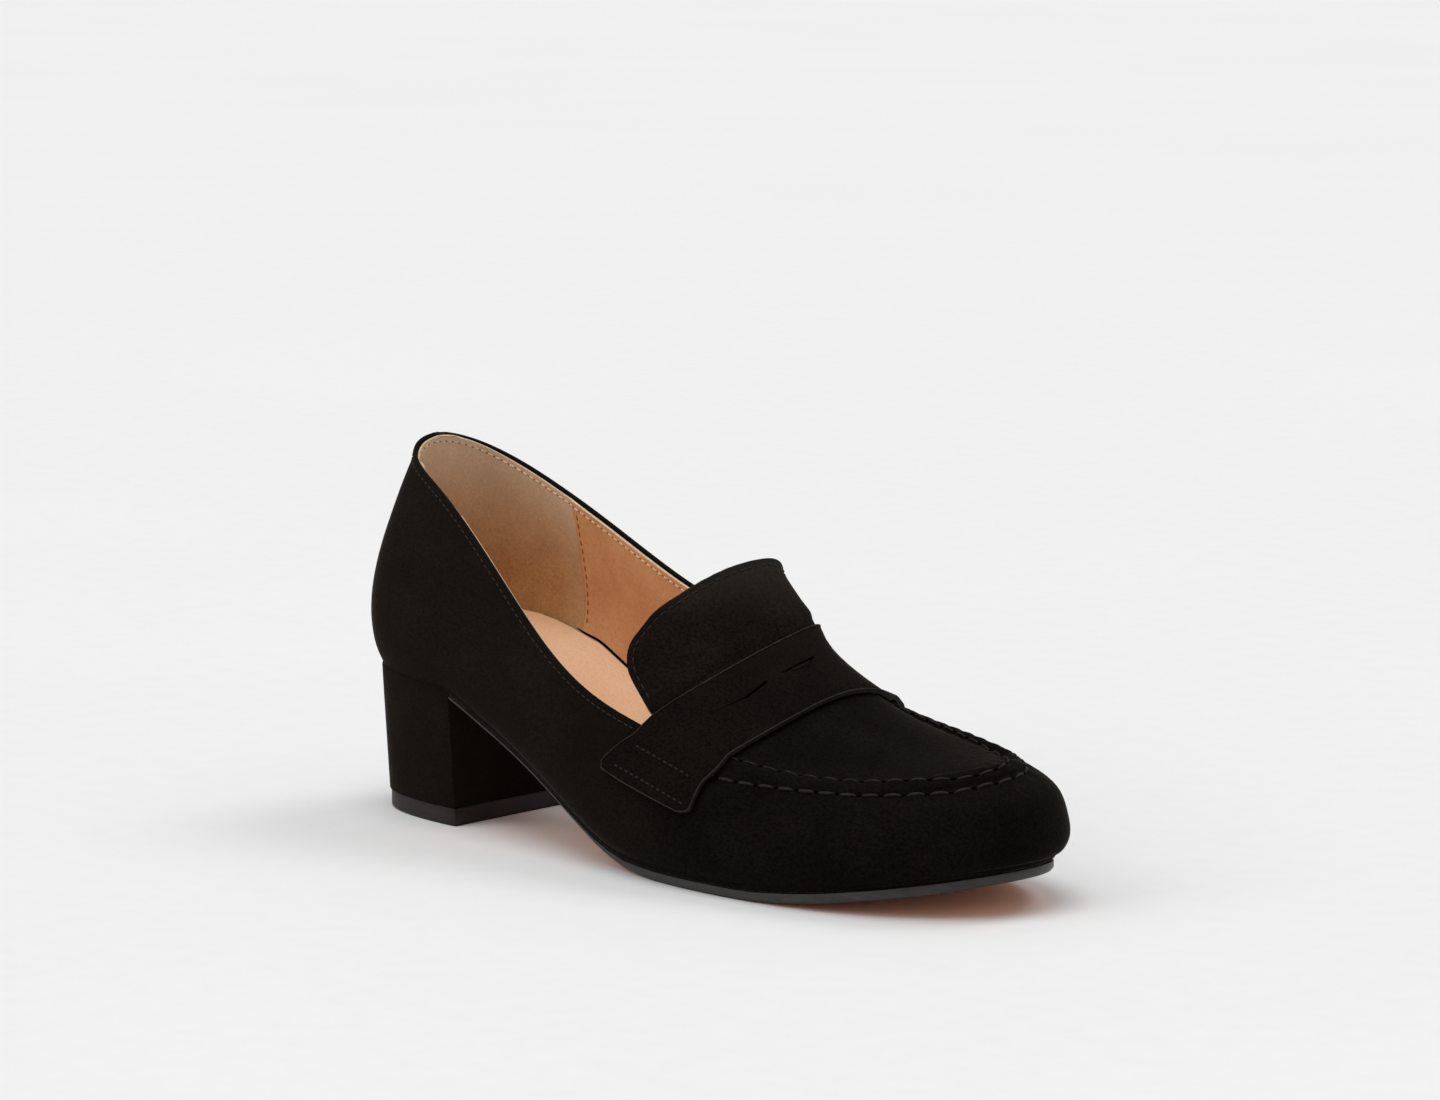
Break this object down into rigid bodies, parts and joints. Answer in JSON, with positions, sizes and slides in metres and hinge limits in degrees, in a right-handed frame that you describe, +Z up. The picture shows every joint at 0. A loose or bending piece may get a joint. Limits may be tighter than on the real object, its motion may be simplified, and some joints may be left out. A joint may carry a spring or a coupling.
{
  "type": "block heel shoe",
  "caption": "Right foot penny loafer pump in black suede with a moccasin apron, saddle strap, standing tongue, thin sole and a covered block heel.",
  "frame": {"origin": "on the floor, under the middle of the shoe's box", "axes": "+X towards the toe, +Y to the medial side, +Z up"},
  "size_m": [0.2426, 0.0816, 0.108],
  "materials": {
    "upper_suede": "black suede with a short nap, leather lined",
    "tongue_suede": "black suede with a short nap",
    "strap_suede": "black suede with a short nap",
    "sock_leather": "smooth pale tan sock leather",
    "sole_rubber": "matt dark grey rubber",
    "heel_suede": "black suede cover on a block",
    "lift_rubber": "matt dark brown rubber"
  },
  "bodies": {
    "root": {"upper": "upper_suede", "tongue": "tongue_suede", "saddle_strap": "strap_suede", "insole": "sock_leather", "outsole": "sole_rubber", "heel_block": "heel_suede", "top_lift": "lift_rubber"}
  },
  "joints": []
}
